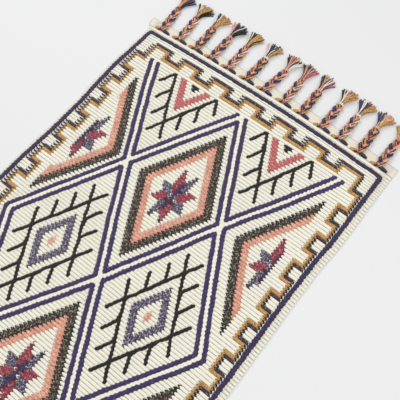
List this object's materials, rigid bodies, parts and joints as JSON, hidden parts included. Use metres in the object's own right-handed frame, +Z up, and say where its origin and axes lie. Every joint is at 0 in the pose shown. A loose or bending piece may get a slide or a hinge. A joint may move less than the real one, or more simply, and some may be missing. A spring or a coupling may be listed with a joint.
{
  "type": "kilim rug with braided tassels",
  "caption": "Flatwoven ribbed wool rug lying flat, with a hem band and a row of braided tassels at each end.",
  "frame": {"origin": "under the middle of the rug, on the floor", "axes": "+Z up out of the floor, +Y along the rug towards the end shown in the picture, +X across it"},
  "size_m": [1.222, 2.3872, 0.0263],
  "materials": {
    "wool_weave": "matt ribbed wool flatweave",
    "tassel_yarn": "matt wool yarn of mixed colours"
  },
  "bodies": {
    "root": {"rug": "wool_weave", "tassel_near_01": "tassel_yarn", "tassel_near_02": "tassel_yarn", "tassel_near_03": "tassel_yarn", "tassel_near_04": "tassel_yarn", "tassel_near_05": "tassel_yarn", "tassel_near_06": "tassel_yarn", "tassel_near_07": "tassel_yarn", "tassel_near_08": "tassel_yarn", "tassel_near_09": "tassel_yarn", "tassel_near_10": "tassel_yarn", "tassel_near_11": "tassel_yarn", "tassel_near_12": "tassel_yarn", "tassel_near_13": "tassel_yarn", "tassel_far_01": "tassel_yarn", "tassel_far_02": "tassel_yarn", "tassel_far_03": "tassel_yarn", "tassel_far_04": "tassel_yarn", "tassel_far_05": "tassel_yarn", "tassel_far_06": "tassel_yarn", "tassel_far_07": "tassel_yarn", "tassel_far_08": "tassel_yarn", "tassel_far_09": "tassel_yarn", "tassel_far_10": "tassel_yarn", "tassel_far_11": "tassel_yarn", "tassel_far_12": "tassel_yarn", "tassel_far_13": "tassel_yarn"}
  },
  "joints": []
}
